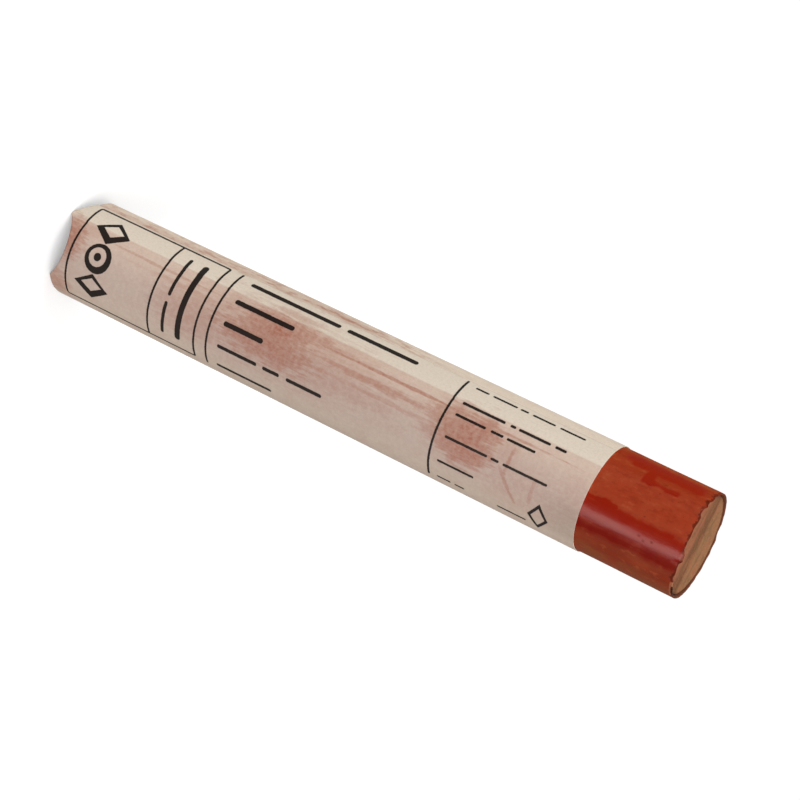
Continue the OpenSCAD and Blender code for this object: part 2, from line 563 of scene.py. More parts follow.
# %% [markdown]
# ## Helpers for values
# These put single nodes together. `join` makes one value of many, `span` turns a stretch
# of a value into a soft mask from 0 to 1, and `mix` lays one colour over another by such
# a mask. Most of the finishes below are just noise, `span` and `mix`, one after another.


# %% Value helpers
def join(tree, operation, values):
    """Makes one value of several, such as their sum, their product or the largest."""
    joined = values[0]
    for value in values[1:]:
        joined = math_node(tree, operation, joined, value)
    return joined


def split_xyz(tree, vector):
    """The X, Y and Z of a vector."""
    node = tree.nodes.new("ShaderNodeSeparateXYZ")
    put(tree, node.inputs[0], vector)
    return node.outputs["X"], node.outputs["Y"], node.outputs["Z"]


def noise_node(tree, place_on, scale, detail=2.0, roughness=0.5, stretch=None):
    if stretch is not None:
        place_on = vector_node(tree, "MULTIPLY", place_on, stretch)
    node = tree.nodes.new("ShaderNodeTexNoise")
    put(tree, node.inputs["Vector"], place_on)
    node.inputs["Scale"].default_value = scale
    node.inputs["Detail"].default_value = detail
    node.inputs["Roughness"].default_value = roughness
    return node.outputs["Fac"]


def span(tree, value, low, high, to_low=0.0, to_high=1.0):
    """Smooth step of a value from low to high."""
    node = tree.nodes.new("ShaderNodeMapRange")
    node.interpolation_type = "SMOOTHSTEP"
    put(tree, node.inputs["Value"], value)
    node.inputs["From Min"].default_value = low
    node.inputs["From Max"].default_value = high
    node.inputs["To Min"].default_value = to_low
    node.inputs["To Max"].default_value = to_high
    return node.outputs["Result"]


def mix(tree, factor, first, second):
    node = tree.nodes.new("ShaderNodeMix")
    node.data_type = "RGBA"
    put(tree, node.inputs[0], factor)
    put(tree, node.inputs[6], first)
    put(tree, node.inputs[7], second)
    return node.outputs[2]


def rgb(red, green, blue):
    """A colour given as it looks on screen, 0 to 255, as the linear colour nodes need."""
    def linear(value):
        c = value / 255
        return c / 12.92 if c <= 0.04045 else ((c + 0.055) / 1.055) ** 2.4
    return (linear(red), linear(green), linear(blue), 1.0)


print("middle grey is", round(rgb(128, 128, 128)[0], 3), "in linear light")

# %% [markdown]
# ## Helpers for places
# Print, stains and wet patches belong to the surface, so they are drawn on the flat
# coordinates. The grain of the paint and the crust reads the solid piece instead, because
# the bar's flat coordinates jump at its back. Bump tilts the light on fine grain that
# would be too small to model.


# %% Place helpers
def flat_millimetres(tree):
    """The flat coordinates of the sheet or of the bar's side, in millimetres."""
    source = tree.nodes.new("ShaderNodeUVMap")
    source.uv_map = "flat_sheet"
    return vector_node(tree, "MULTIPLY", source.outputs["UV"], (UV_SCALE, UV_SCALE, 0))


def solid_millimetres(tree):
    """Places in the solid piece, in millimetres."""
    source = tree.nodes.new("ShaderNodeTexCoord")
    return vector_node(tree, "MULTIPLY", source.outputs["Object"], (1 / MM, 1 / MM, 1 / MM))


def bump(tree, shader, height, distance_mm, strength=1.0):
    node = tree.nodes.new("ShaderNodeBump")
    node.inputs["Strength"].default_value = strength
    node.inputs["Distance"].default_value = distance_mm * MM
    tree.links.new(height, node.inputs["Height"])
    tree.links.new(node.outputs["Normal"], shader.inputs["Normal"])


print("the flat sheet runs from", round(flat_uv(FIRST_TURN, 0)[0] * UV_SCALE, 1),
      "to", round(flat_uv(FREE_EDGE_TURN, 0)[0] * UV_SCALE, 1))

# %% [markdown]
# ## Plain shapes
# Print, stains and wet patches are drawn with three shapes, each a small node group. A bar
# is a rectangle with rounded corners, a lozenge is a square on its corner, and a spot is
# an oval. A group returns how far a point is outside the shape, negative inside: for a bar
# in millimetres, for a spot in shares of its half size. The smallest of many such
# distances is the distance to all of them together, so one soft threshold inks them all.


# %% Shape groups
def shape_group(name, build):
    group = bpy.data.node_groups.new(name, "ShaderNodeTree")
    for title, kind in (("Place", "NodeSocketVector"), ("Middle", "NodeSocketVector"),
                        ("Half size", "NodeSocketVector"), ("Corner", "NodeSocketFloat")):
        group.interface.new_socket(name=title, in_out="INPUT", socket_type=kind)
    group.interface.new_socket(name="Distance", in_out="OUTPUT", socket_type="NodeSocketFloat")
    entry = group.nodes.new("NodeGroupInput")
    leave = group.nodes.new("NodeGroupOutput")
    away = vector_node(group, "SUBTRACT", entry.outputs["Place"], entry.outputs["Middle"])
    away = vector_node(group, "ABSOLUTE", away)
    group.links.new(build(group, away, entry), leave.inputs["Distance"])
    return group


def build_bar(group, away, entry):
    past = vector_node(group, "SUBTRACT", away, entry.outputs["Half size"])
    past = vector_node(group, "MAXIMUM", past, (0, 0, 0))
    length = vector_node(group, "LENGTH", past)
    return math_node(group, "SUBTRACT", length, entry.outputs["Corner"])


def build_lozenge(group, away, entry):
    share = vector_node(group, "DIVIDE", away, entry.outputs["Half size"])
    x_share, y_share = split_xyz(group, share)[:2]
    over = math_node(group, "SUBTRACT", math_node(group, "ADD", x_share, y_share), 1.0)
    return math_node(group, "MULTIPLY", over, entry.outputs["Corner"])


def build_spot(group, away, entry):
    share = vector_node(group, "DIVIDE", away, entry.outputs["Half size"])
    length = vector_node(group, "LENGTH", vector_node(group, "MULTIPLY", share, (1, 1, 0)))
    return math_node(group, "SUBTRACT", length, 1.0)


BAR_SHAPE = shape_group("Rounded bar", build_bar)
LOZENGE_SHAPE = shape_group("Printed lozenge", build_lozenge)
SPOT_SHAPE = shape_group("Oval spot", build_spot)


def shape(tree, group, place_on, middle, half, corner):
    node = tree.nodes.new("ShaderNodeGroup")
    node.node_tree = group
    put(tree, node.inputs["Place"], place_on)
    node.inputs["Middle"].default_value = (middle[0], middle[1], 0)
    node.inputs["Half size"].default_value = (half[0], half[1], 1)
    node.inputs["Corner"].default_value = corner
    return node.outputs["Distance"]


def rounded_bar(tree, place_on, middle, half, corner):
    """A bar whose rounded corners stay inside its half size."""
    inner = (max(half[0] - corner, 0.0), max(half[1] - corner, 0.0))
    return shape(tree, BAR_SHAPE, place_on, middle, inner, corner)


print("shape groups", [group.name for group in (BAR_SHAPE, LOZENGE_SHAPE, SPOT_SHAPE)])

# %% [markdown]
# ## What is printed
# The front of the wrapper has a box of thin rules near the tail with a bold motif in it,
# two rules across the sheet, and rows of short bars that stand where a label carries
# its lines. A badge outlined with a thin line stands near the writing end. Numbers are
# millimetres on the flat sheet: first the distance from the front line, then the height
# up the stick from the tail.

# %% Print layout
RULE = 0.23
BOX_CORNER = 0.4
RULES = [
    ((-1.1, 23.6), (10.2, RULE)),
    ((-1.1, 37.1), (10.4, RULE)),
    ((-1.0, 85.4), (10.6, RULE)),
]
FRAME_BOX = ((-1.1, 19.15), (10.2, 15.13))

# Rows up the stick: distance from the front, half width, then where each bar runs.
ROWS_UP = [
    (7.8, 0.47, ((39.9, 59.6), (61.1, 76.0))),
    (3.2, 0.47, ((39.7, 52.7),)),
    (-1.3, 0.47, ((39.7, 48.4),)),
    (-5.8, 0.37, ((39.6, 48.4), (49.7, 53.4), (54.9, 62.6))),
    (-10.4, 0.37, ((39.4, 51.7),)),
    (8.6, 0.24, ((87.4, 90.1), (90.9, 95.8), (96.4, 98.0), (98.8, 103.3), (104.2, 109.2))),
    (4.5, 0.24, ((87.3, 95.9), (96.9, 98.0), (98.6, 104.8), (105.7, 107.9))),
    (2.1, 0.24, ((87.3, 93.4), (94.4, 96.9), (97.6, 103.2))),
    (-2.1, 0.24, ((87.3, 95.8), (96.5, 98.1), (98.9, 107.6))),
    (-6.9, 0.24, ((87.1, 94.5),)),
    (-11.0, 0.24, ((87.1, 89.9), (90.7, 92.7), (99.3, 105.1))),
]
# Rows round the stick: height, half width, then where each bar runs.
ROWS_ROUND = [
    (27.1, 0.36, ((-8.9, -2.3), (-1.2, 7.0))),
    (30.6, 0.62, ((-8.9, 7.0),)),
]
LOZENGE_PLACES = ((-6.5, 10.2), (4.8, 10.2))
RING_MIDDLE = (-0.85, 10.2)
DOT_MIDDLE = (-0.6, 10.0)
BADGE_MIDDLE = (-8.7, 107.4)
BADGE_LINE = 0.26
print(sum(len(row[2]) for row in ROWS_UP + ROWS_ROUND), "printed bars", len(RULES), "rules")

# %% [markdown]
# ## Drawing the print
# Here each shape gives a distance. A line is a shape's distance made absolute less half
# the line's width, and a hole is a second shape turned inside out. The nearest of them
# all is the print.


# %% Print
def outline(tree, distance, half_width):
    """A line of a half width along the edge of a shape."""
    return math_node(tree, "SUBTRACT", math_node(tree, "ABSOLUTE", distance), half_width)


def cut_out(tree, distance, hole):
    """A shape with another one cut out of it."""
    return math_node(tree, "MAXIMUM", distance, math_node(tree, "MULTIPLY", hole, -1.0))


def motif_inks(tree, flat):
    """Two hollow lozenges, a ring with a dot in it, and the badge near the other end."""
    inks = []
    for across, up in LOZENGE_PLACES:
        outer = shape(tree, LOZENGE_SHAPE, flat, (across, up), (2.6, 4.0), 2.2)
        inner = shape(tree, LOZENGE_SHAPE, flat, (across + 0.35, up), (1.35, 2.35), 1.3)
        inks.append(cut_out(tree, outer, inner))
    disc = shape(tree, BAR_SHAPE, flat, RING_MIDDLE, (0, 0), 2.9)
    hole = shape(tree, BAR_SHAPE, flat, DOT_MIDDLE, (0, 0), 1.85)
    inks.append(cut_out(tree, disc, hole))
    inks.append(shape(tree, BAR_SHAPE, flat, DOT_MIDDLE, (0, 0), 0.8))
    badge = shape(tree, LOZENGE_SHAPE, flat, BADGE_MIDDLE, (2.5, 1.7), 1.3)
    inks.append(outline(tree, badge, BADGE_LINE))
    return inks


def print_distance(tree, flat):
    """How far a point of the sheet is from the nearest ink."""
    inks = [outline(tree, rounded_bar(tree, flat, *FRAME_BOX, BOX_CORNER), RULE)]
    for middle, half in RULES:
        inks.append(rounded_bar(tree, flat, middle, half, half[1]))
    for across, half_width, runs in ROWS_UP:
        for start, end in runs:
            middle = (across, (start + end) / 2)
            half = (half_width, (end - start) / 2)
            inks.append(rounded_bar(tree, flat, middle, half, half_width))
    for height, half_width, runs in ROWS_ROUND:
        for start, end in runs:
            middle = ((start + end) / 2, height)
            half = ((end - start) / 2, half_width)
            inks.append(rounded_bar(tree, flat, middle, half, half_width))
    return join(tree, "MINIMUM", inks + motif_inks(tree, flat))


# %% [markdown]
# ## The paper's own colour
# The paper is thin and has soaked up oil from the bar, so a single layer looks pinkish
# grey. Where the sheet lies double over the lap it stays cream, and it is cream again on
# its far side, beyond its free edge.

# %% Bare paper
paper, tree, shader = new_material("Printed wrapper paper")
flat = flat_millimetres(tree)
across, up = split_xyz(tree, flat)[:2]

single = mix(tree, span(tree, across, 4.6, -3.4), rgb(211, 187, 170), rgb(194, 172, 160))
single = mix(tree, span(tree, across, -5.0, -10.5), single, rgb(198, 179, 163))
double = span(tree, across, 4.7, 5.15)
base = mix(tree, double, single, rgb(224, 210, 192))
base = mix(tree, span(tree, across, -43.0, -50.0), base, rgb(229, 213, 193))
print("bare paper nodes", len(paper.node_tree.nodes))

# %% [markdown]
# ## Where the stains lie
# Paint from dirty fingers is smeared over the wrapper: one strong smear in the middle,
# a wiped block nearer the writing end, a few long thin streaks and scratches, a dirty
# tail, and a dirty band along the sheet's free edge. Each is an oval. The first two pairs
# are its middle and its half size, in the same numbers as the print, and the last is its
# strength. Beyond the free edge the numbers are counted on round the stick.

# %% Stain layout
STAINS = [
    ((1.5, 49.6), (3.6, 9.0), 0.60),
    ((-1.4, 49.0), (3.5, 11.5), 0.62),
    ((5.7, 51.5), (1.0, 5.4), 0.40),
    ((3.3, 53.4), (1.6, 8.5), 0.56),
    ((1.8, 50.4), (1.7, 4.2), 0.72),
    ((0.2, 52.0), (6.0, 19.0), 0.26),
    ((0.7, 69.5), (0.75, 13.0), 0.50),
    ((2.85, 77.0), (0.30, 26.0), 0.62),
    ((3.3, 60.0), (0.50, 8.0), 0.40),
    ((-1.3, 72.0), (0.45, 13.0), 0.34),
    ((-2.8, 65.0), (1.5, 10.0), 0.24),
    ((0.8, 85.6), (2.5, 3.2), 0.52),
    ((-2.0, 85.0), (1.6, 3.0), 0.34),
    ((-2.4, 87.8), (2.6, 3.0), 0.60),
    ((-2.6, 33.0), (4.2, 8.0), 0.30),
    ((2.9, 26.0), (0.28, 14.0), 0.36),
    ((1.4, 31.0), (0.50, 10.0), 0.30),
    ((0.5, 2.2), (3.9, 3.2), 0.66),
    ((3.4, 5.0), (1.3, 4.6), 0.22),
    ((-9.6, 1.8), (2.8, 2.8), 0.46),
    ((10.6, 30.0), (1.0, 44.0), 0.26),
    ((11.9, 42.0), (2.0, 22.0), 0.16),
    ((10.9, 59.0), (1.2, 10.0), 0.36),
    ((0.6, 98.0), (2.6, 3.0), 0.22),
    ((-1.9, 112.4), (3.4, 3.0), 0.15),
    ((2.2, 87.8), (1.8, 3.0), 0.46),
    ((1.7, 93.4), (2.3, 3.0), 0.66),
    ((-0.4, 90.6), (4.2, 5.8), 0.66),
    ((-2.8, 91.6), (3.0, 4.6), 0.66),
    ((-5.0, 103.0), (5.0, 7.0), 0.14),
    ((-0.9, 99.7), (2.9, 0.40), 0.50),
    ((-4.7, 105.3), (3.0, 0.40), 0.36),
]
SLANTED_STAIN = ((-5.6, 96.4), (2.6, 0.45), 0.50)
SLANT = 0.8
THIN = 1.0
STAIN_EDGE = 0.55
FAR_SIDE_START = -31.0
print(len(STAINS) + 1, "stains")

# %% [markdown]
# ## Drawing the stains
# Noise stretched along the stick breaks up the edge of every oval, and a softer noise
# bends the broad ones. The strongest oval wins where several meet. Finer noises then vary
# the strength, add a faint haze to the single layer, and smear the dirty band.


# %% Stains
def warp(tree, place_on, noise_on, scale, reach):
    """Flat coordinates pushed about by soft noise, so that no edge is straight."""
    node = tree.nodes.new("ShaderNodeTexNoise")
    put(tree, node.inputs["Vector"], noise_on)
    node.inputs["Scale"].default_value = scale
    node.inputs["Detail"].default_value = 2.0
    push = vector_node(tree, "SUBTRACT", node.outputs["Color"], (0.5, 0.5, 0.5))
    return vector_node(tree, "ADD", place_on, vector_node(tree, "MULTIPLY", push, reach))


def stain_amount(tree, place_on, stain, edge):
    """Strength of one stain, with its edge frayed by noise."""
    middle, half, weight = stain
    distance = shape(tree, SPOT_SHAPE, place_on, middle, half, 0.0)
    frayed = math_node(tree, "ADD", distance, edge)
    return math_node(tree, "MULTIPLY", span(tree, frayed, STAIN_EDGE, -STAIN_EDGE), weight)


far_side = math_node(tree, "LESS_THAN", across, FAR_SIDE_START)
further = vector_node(tree, "MULTIPLY", far_side, (ROUND_LENGTH, 0, 0))
counted_on = vector_node(tree, "ADD", flat, further)
past = split_xyz(tree, counted_on)[0]
bent = warp(tree, counted_on, flat, 0.35, (1.2, 2.5, 0.0))
slanted = tree.nodes.new("ShaderNodeCombineXYZ")
put(tree, slanted.inputs["X"], across)
lifted = math_node(tree, "ADD", up, math_node(tree, "MULTIPLY", across, SLANT))
put(tree, slanted.inputs["Y"], lifted)

streaks = noise_node(tree, flat, 1.0, 4.0, 0.62, stretch=(1.8, 0.22, 1.0))
blots = noise_node(tree, flat, 0.45, 3.0, 0.55, stretch=(1.0, 0.7, 1.0))
long_fray = span(tree, streaks, 0.25, 0.75, -0.42, 0.42)
edge = math_node(tree, "ADD", long_fray, span(tree, blots, 0.3, 0.7, -0.25, 0.25))
amounts = []
for spot in STAINS:
    place_on = counted_on if min(spot[1]) < THIN else bent
    amounts.append(stain_amount(tree, place_on, spot, edge))
amounts.append(stain_amount(tree, slanted.outputs[0], SLANTED_STAIN, edge))
stain = join(tree, "MAXIMUM", amounts)

speckle = noise_node(tree, flat, 2.0, 3.0, 0.6, stretch=(1.0, 0.7, 1.0))
speckle_share = span(tree, speckle, 0.3, 0.7, 0.84, 1.16)
streak_share = span(tree, streaks, 0.25, 0.75, 0.84, 1.10)
stain = join(tree, "MULTIPLY", [stain, streak_share, speckle_share])
single_share = span(tree, double, 1.0, 0.0, 0.02, 0.12)
haze = math_node(tree, "MULTIPLY", span(tree, blots, 0.4, 0.75), single_share)
smears = noise_node(tree, flat, 0.9, 4.0, 0.6, stretch=(1.0, 0.35, 1.0))
band = [
    span(tree, past, 9.82, 9.9),
    span(tree, past, 16.0, 12.5),
    span(tree, up, 82.0, 70.0),
    span(tree, smears, 0.46, 0.62, 0.0, 0.34),
]
stain = join(tree, "ADD", [stain, haze, join(tree, "MULTIPLY", band)])
base = mix(tree, stain, base, rgb(160, 82, 54))
print("stained paper nodes", len(paper.node_tree.nodes))

# %% [markdown]
# ## Fibres, ink and the paper's inside
# Fine fibres tint the paper, give it its bump and nibble at the edges of the ink. The
# paper is darker beside the bar's end, and towards the tail its colour is raised as
# painted light. The sheet's inside and its cut edges are the same paper without print or stains.

# %% Finish the paper
fibres = noise_node(tree, flat, 3.2, 4.0, 0.65, stretch=(1.0, 0.6, 1.0))
mottle = noise_node(tree, flat, 1.1, 2.0, 0.5)
base = mix(tree, span(tree, fibres, 0.35, 0.75, 0.0, 0.16), base, rgb(140, 122, 108))
base = mix(tree, span(tree, mottle, 0.4, 0.7, 0.0, 0.10), base, rgb(232, 218, 202))
# Darker near the bar's end, a little round from the front on the side that faces down in the picture.
darker_near_bar_end = [
    span(tree, up, 104.0, 113.0, 0.0, 0.26),
    span(tree, across, -1.5, -5.5),
    span(tree, across, -12.0, -9.0),
]
base = mix(tree, join(tree, "MULTIPLY", darker_near_bar_end), base, rgb(104, 76, 60))
# Painted light: the paper's colour is raised by up to 8% towards the tail, so it renders brighter
# there.
base = vector_node(tree, "MULTIPLY", base, span(tree, up, 55.0, 15.0, 1.0, 1.08))

nibbled = span(tree, fibres, 0.2, 0.8, -0.04, 0.05)
ink_edge = math_node(tree, "ADD", print_distance(tree, flat), nibbled)
base = mix(tree, span(tree, ink_edge, 0.06, -0.05, 0.0, 0.98), base, rgb(18, 10, 7))
put(tree, shader.inputs["Base Color"], base)
put(tree, shader.inputs["Roughness"], span(tree, blots, 0.3, 0.7, 0.68, 0.56))
shader.inputs["Specular IOR Level"].default_value = 0.12
bump(tree, shader, fibres, 0.02, 0.6)
print("paper nodes", len(paper.node_tree.nodes))

inside, tree, shader = new_material("Plain inside of the paper")
grain = noise_node(tree, solid_millimetres(tree), 2.6, 3.0, 0.6)
plain = mix(tree, span(tree, grain, 0.3, 0.7), rgb(222, 208, 190), rgb(201, 184, 164))
put(tree, shader.inputs["Base Color"], plain)
shader.inputs["Roughness"].default_value = 0.8
shader.inputs["Specular IOR Level"].default_value = 0.2
bump(tree, shader, grain, 0.02, 0.5)
paper_sheet.data.materials.append(paper)
paper_sheet.data.materials.append(inside)

# %% [markdown]
# ## Oil paint: where it is wet
# The paint is a deep iron red. Where it was touched or wiped it is wet, dark and glossy.
# The wet patches are bars on the bar's flat map, bent and frayed by noise and faintly
# streaked along the stick. The same mask later sets colour, roughness and a small step
# in the bump. All other noise runs through space, so the paint has no seam at the back.

# %% Wet patches
# Each: middle, half size inside the rounding, rounding, half width of the soft edge.
WET = [
    ((-2.7, 122.0), (1.3, 14.0), 0.75, 0.70),
    ((-4.7, 122.0), (1.0, 14.0), 0.60, 1.00),
    ((-1.3, 120.6), (0.35, 9.8), 0.70, 0.65),
    ((-0.4, 116.6), (0.1, 3.2), 0.50, 0.30),
    ((10.2, 124.6), (0.6, 5.6), 1.0, 0.45),
    ((10.8, 120.2), (0.4, 2.8), 0.9, 0.80),
    ((7.9, 122.0), (1.2, 0.3), 0.55, 0.35),
    ((6.5, 124.6), (0.1, 2.9), 0.50, 0.30),
]
paint, tree, shader = new_material("Iron red oil paint")
flat = flat_millimetres(tree)
solid = solid_millimetres(tree)
around = split_xyz(tree, flat)[0]
streaks = noise_node(tree, solid, 1.0, 3.0, 0.5, stretch=(1.2, 1.2, 0.10))
blots = noise_node(tree, solid, 0.35, 3.0, 0.5, stretch=(1.0, 1.0, 0.6))
sway = noise_node(tree, flat, 0.30, 2.0, 0.5, stretch=(0.6, 1.0, 1.0))
fray = noise_node(tree, flat, 1.4, 3.0, 0.6, stretch=(1.0, 0.4, 1.0))
swayed = span(tree, sway, 0.2, 0.8, -0.40, 0.40)
edge = math_node(tree, "ADD", swayed, span(tree, fray, 0.2, 0.8, -0.12, 0.12))
amounts = []
for middle, half, corner, reach in WET:
    distance = math_node(tree, "ADD", shape(tree, BAR_SHAPE, flat, middle, half, corner), edge)
    amounts.append(span(tree, distance, reach, -reach))
wet = join(tree, "MAXIMUM", amounts)
wet = math_node(tree, "MULTIPLY", wet, span(tree, streaks, 0.2, 0.5, 0.82, 1.0))
print("wet mask nodes", len(paint.node_tree.nodes))

# %% [markdown]
# ## Oil paint: bloom and deep red
# Between the wet patches the paint has a dull, slightly chalky bloom that is lighter and
# more orange. It is darker on the side that faces down in the picture, where it turns
# olive in places, and plain at the back. Streaks, blots, worn spots and smudges vary it.

# %% Paint colours
dull = mix(tree, span(tree, around, -4.4, -6.2), rgb(156, 56, 27), rgb(122, 43, 18))
dull = mix(tree, span(tree, around, -9.0, -11.0), dull, rgb(130, 56, 24))
dull = mix(tree, span(tree, around, 11.0, 12.6), dull, rgb(158, 72, 36))
behind = span(tree, math_node(tree, "ABSOLUTE", around), 14.0, 21.0)
dull = mix(tree, behind, dull, rgb(152, 64, 34))
dull = mix(tree, span(tree, streaks, 0.35, 0.7, 0.0, 0.35), dull, rgb(146, 40, 12))
dull = mix(tree, span(tree, blots, 0.45, 0.75, 0.0, 0.40), dull, rgb(160, 70, 38))
worn = noise_node(tree, solid, 0.9, 4.0, 0.6, stretch=(1.0, 1.0, 0.55))
dull = mix(tree, span(tree, worn, 0.52, 0.68, 0.0, 0.60), dull, rgb(134, 42, 17))
dull = mix(tree, span(tree, worn, 0.46, 0.30, 0.0, 0.45), dull, rgb(168, 80, 46))
smudges = noise_node(tree, solid, 2.2, 3.0, 0.6, stretch=(1.0, 1.0, 0.5))
dull = mix(tree, span(tree, smudges, 0.52, 0.72, 0.0, 0.35), dull, rgb(116, 48, 26))
olive = [
    span(tree, around, -8.0, -11.0),
    span(tree, around, -20.0, -14.0),
    span(tree, blots, 0.42, 0.60, 0.0, 0.55),
]
dull = mix(tree, join(tree, "MULTIPLY", olive), dull, rgb(112, 62, 28))
deep = mix(tree, span(tree, around, -1.0, -5.0), rgb(142, 25, 3), rgb(116, 11, 2))
deep = mix(tree, span(tree, around, 5.0, 8.0), deep, rgb(148, 34, 8))
colour = mix(tree, wet, dull, deep)
print("paint nodes", len(paint.node_tree.nodes))

# %% [markdown]
# ## Oil paint: the rim
# A second map gives how far a point lies below the rim's top and how far in from the
# bar's side. A ragged dark line runs under the top, and the top itself is brown. A paler
# red on the torn lip is a painted highlight on its upper edge. On the side that faces down
# in the picture the rim has split: its shade is painted as a thin black line, with a pale peeled edge
# below it, and a pale chip beside it.

# %% Rim colours
rim_source = tree.nodes.new("ShaderNodeUVMap")
rim_source.uv_map = "rim"
rim_place = vector_node(tree, "MULTIPLY", rim_source.outputs["UV"], (UV_SCALE, UV_SCALE, 0))
inward, below_top = split_xyz(tree, rim_place)[:2]
ragged = noise_node(tree, solid, 1.6, 3.0, 0.6)
below = math_node(tree, "ADD", below_top, span(tree, ragged, 0.3, 0.7, -0.34, 0.26))
colour = mix(tree, span(tree, below, 0.58, 0.10, 0.0, 0.85), colour, rgb(82, 30, 16))
# Painted highlight: a paler red on the torn lip stands for light on its upper edge.
lip = shape(tree, BAR_SHAPE, flat, (-2.8, 133.3), (0.5, 0.0), 0.2)
colour = mix(tree, span(tree, lip, 0.35, -0.1, 0.0, 0.40), colour, rgb(164, 90, 72))
colour = mix(tree, span(tree, inward, 0.10, 0.28, 0.0, 0.90), colour, rgb(104, 62, 42))
split_run = [span(tree, around, -8.2, -9.0), span(tree, around, -13.6, -12.4)]
split_run = join(tree, "MULTIPLY", split_run)
depth = math_node(tree, "ADD", below_top, span(tree, ragged, 0.3, 0.7, -0.06, 0.06))
peeled = math_node(tree, "MULTIPLY", split_run, span(tree, depth, 0.62, 0.50, 0.0, 0.60))
colour = mix(tree, peeled, colour, rgb(168, 100, 70))
# Painted shade: the split is a thin black line painted along the rim.
split_shade = math_node(tree, "MULTIPLY", split_run, span(tree, depth, 0.36, 0.26, 0.0, 0.92))
colour = mix(tree, split_shade, colour, rgb(22, 8, 5))
pale_chip = shape(tree, BAR_SHAPE, flat, (-9.0, 133.1), (0.35, 0.1), 0.15)
colour = mix(tree, span(tree, pale_chip, 0.25, -0.1, 0.0, 0.70), colour, rgb(176, 116, 82))
print("paint nodes", len(paint.node_tree.nodes))

# %% [markdown]
# ## Oil paint: pits and gloss
# Three pits lie in the long highlight, and a few specks are scattered over the rest. The
# wet paint is smooth, and duller on the side that faces up in the picture. The rim and
# the pits lose most of their shine.

# %% Finish the paint
PITS = ((-2.9, 127.7), (-3.4, 126.3), (-2.8, 125.3))
pit_marks = []
for middle in PITS:
    pit = shape(tree, BAR_SHAPE, flat, middle, (0.04, 0.10), 0.12)
    pit_marks.append(span(tree, pit, 0.12, -0.12))
specks = noise_node(tree, solid, 1.5, 1.0, 0.5, stretch=(1.0, 1.0, 0.8))
pit_marks.append(span(tree, specks, 0.23, 0.20))
pits = join(tree, "MAXIMUM", pit_marks)
colour = mix(tree, math_node(tree, "MULTIPLY", pits, 0.5), colour, rgb(84, 22, 12))
put(tree, shader.inputs["Base Color"], colour)

roughness = [
    span(tree, wet, 0.0, 1.0, 0.52, 0.20),
    span(tree, blots, 0.2, 0.8, -0.02, 0.05),
    span(tree, around, 5.0, 8.0, 0.0, 0.14),
]
put(tree, shader.inputs["Roughness"], join(tree, "ADD", roughness))
gloss = [
    span(tree, around, 5.0, 8.0, 0.10, 0.03),
    span(tree, below, 0.40, 0.0, 1.0, 0.2),
    span(tree, pits, 0.0, 1.0, 1.0, 0.5),
]
put(tree, shader.inputs["Specular IOR Level"], join(tree, "MULTIPLY", gloss))
fine = noise_node(tree, solid, 2.5, 3.0, 0.55, stretch=(1.0, 1.0, 0.4))
relief = []
for part, share in ((fine, 0.4), (wet, 0.15), (pits, -1.4)):
    relief.append(math_node(tree, "MULTIPLY", part, share))
bump(tree, shader, join(tree, "ADD", relief), 0.03, 0.4)
cast_bar.data.materials.append(paint)
print("paint nodes", len(paint.node_tree.nodes))

# %% [markdown]
# ## Dried crust
# The crust is tan and matte, with one darker streak across it and fine mottling. Near the
# rim it turns darker and redder, most on the near side.
# What lies deep in its crack is painted nearly black, as painted shade.

# %% Crust material
crust, tree, shader = new_material("Dried paint crust")
solid = solid_millimetres(tree)
depth_along, height = split_xyz(tree, solid)[1:]
streaks = noise_node(tree, solid, 0.50, 4.0, 0.6, stretch=(0.35, 0.9, 0.3))
spots = noise_node(tree, solid, 0.6, 4.0, 0.62, stretch=(0.8, 1.0, 1.0))
flecks = noise_node(tree, solid, 2.4, 3.0, 0.6)
colour = mix(tree, span(tree, depth_along, 0.0, 2.0), rgb(104, 65, 39), rgb(136, 95, 63))
colour = mix(tree, span(tree, depth_along, -1.6, -4.0), colour, rgb(138, 86, 58))
# Noise, from where to where it counts, how much at most, and the colour it brings.
CRUST_MARKS = [
    (streaks, 0.46, 0.66, 0.40, rgb(140, 98, 66)),
    (streaks, 0.50, 0.34, 0.50, rgb(98, 62, 38)),
    (spots, 0.52, 0.66, 0.55, rgb(146, 86, 60)),
    (spots, 0.48, 0.34, 0.55, rgb(108, 80, 48)),
    (flecks, 0.50, 0.72, 0.35, rgb(92, 58, 38)),
    (flecks, 0.45, 0.28, 0.22, rgb(164, 120, 90)),
]
for marks, low, high, most, tint in CRUST_MARKS:
    colour = mix(tree, span(tree, marks, low, high, 0.0, most), colour, tint)
out = vector_node(tree, "LENGTH", vector_node(tree, "MULTIPLY", solid, (1, 1, 0)))
# Darker and redder near the crust's edge, most on the near side.
near = span(tree, depth_along, -2.0, -6.0, 0.35, 0.85)
edge = math_node(tree, "MULTIPLY", span(tree, out, 8.3, 9.0), near)
colour = mix(tree, edge, colour, rgb(86, 40, 24))
# Painted shade: the bottom of the crack is painted nearly black.
crack_shade = span(tree, height, SKIN_TOP - 0.12, SKIN_TOP - 0.26, 0.0, 0.85)
colour = mix(tree, crack_shade, colour, rgb(42, 18, 10))
put(tree, shader.inputs["Base Color"], colour)
put(tree, shader.inputs["Roughness"], span(tree, streaks, 0.3, 0.7, 0.74, 0.88))
shader.inputs["Specular IOR Level"].default_value = 0.08
bump(tree, shader, spots, 0.06, 0.6)
dried_crust.data.materials.append(crust)
print("crust nodes", len(crust.node_tree.nodes))

# %% [markdown]
# ## Camera
# The camera is close, with a long lens, and rolled so that the standing stick lies
# diagonally across the picture with its writing end at the lower right. A camera could
# be aimed with a Track To constraint, but that leaves out the roll. So its turn is given
# by where its right, up and back point.

